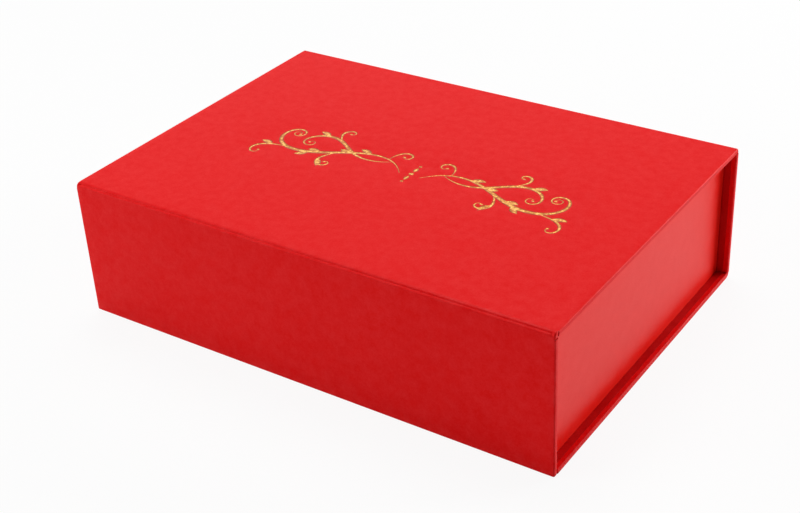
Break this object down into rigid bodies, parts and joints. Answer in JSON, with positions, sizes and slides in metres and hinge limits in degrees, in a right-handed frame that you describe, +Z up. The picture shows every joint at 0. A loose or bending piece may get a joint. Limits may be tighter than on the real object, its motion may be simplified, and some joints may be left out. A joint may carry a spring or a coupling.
{
  "type": "magnetic gift box",
  "caption": "Book-style rigid gift box covered in red paper: a tray on a hinged case whose lid closes with a fold-down magnetic flap.",
  "frame": {"origin": "bottom centre of the closed box, on the surface that it stands on", "axes": "+X along the length, -Y towards the front flap, +Y towards the spine, +Z up"},
  "size_m": [0.32, 0.226, 0.089],
  "materials": {
    "greyboard": "grey pasteboard, matt",
    "covering_paper": "red laminated art paper, soft satin",
    "lining_paper": "red lining paper, satin",
    "gummed_tape": "brown gummed tape, matt",
    "magnet_nickel": "nickel plate"
  },
  "bodies": {
    "tray": {"base_board": "greyboard", "base_wrap": "covering_paper", "base_liner": "lining_paper", "base_fold": "covering_paper", "spine_board": "greyboard", "spine_wrap": "covering_paper", "spine_liner": "lining_paper", "lid_fold": "covering_paper", "tray_bottom_board": "greyboard", "tray_front_board": "greyboard", "tray_back_board": "greyboard", "tray_left_board": "greyboard", "tray_right_board": "greyboard", "tray_corner_stays": "gummed_tape", "tray_wrap": "covering_paper", "tray_wall_liner": "lining_paper", "tray_floor_liner": "lining_paper", "tray_magnets": "magnet_nickel", "tray_magnet_patches": "gummed_tape"},
    "lid": {"lid_board": "greyboard", "lid_wrap": "covering_paper", "lid_liner": "lining_paper", "flap_fold": "covering_paper"},
    "flap": {"flap_board": "greyboard", "flap_wrap": "covering_paper", "flap_liner": "lining_paper", "flap_magnets": "magnet_nickel", "flap_magnet_patches": "gummed_tape"}
  },
  "joints": [
    {"name": "lid_hinge", "type": "hinge", "parent": "tray", "child": "lid", "pos_m": [0, 0.113, 0.089], "axis": [-1, 0, 0], "range_deg": [0, 180], "deforming": ["lid_fold"]},
    {"name": "flap_hinge", "type": "hinge", "parent": "lid", "child": "flap", "pos_m": [0, -0.113, 0.089], "axis": [-1, 0, 0], "range_deg": [0, 180], "deforming": ["flap_fold"]}
  ]
}
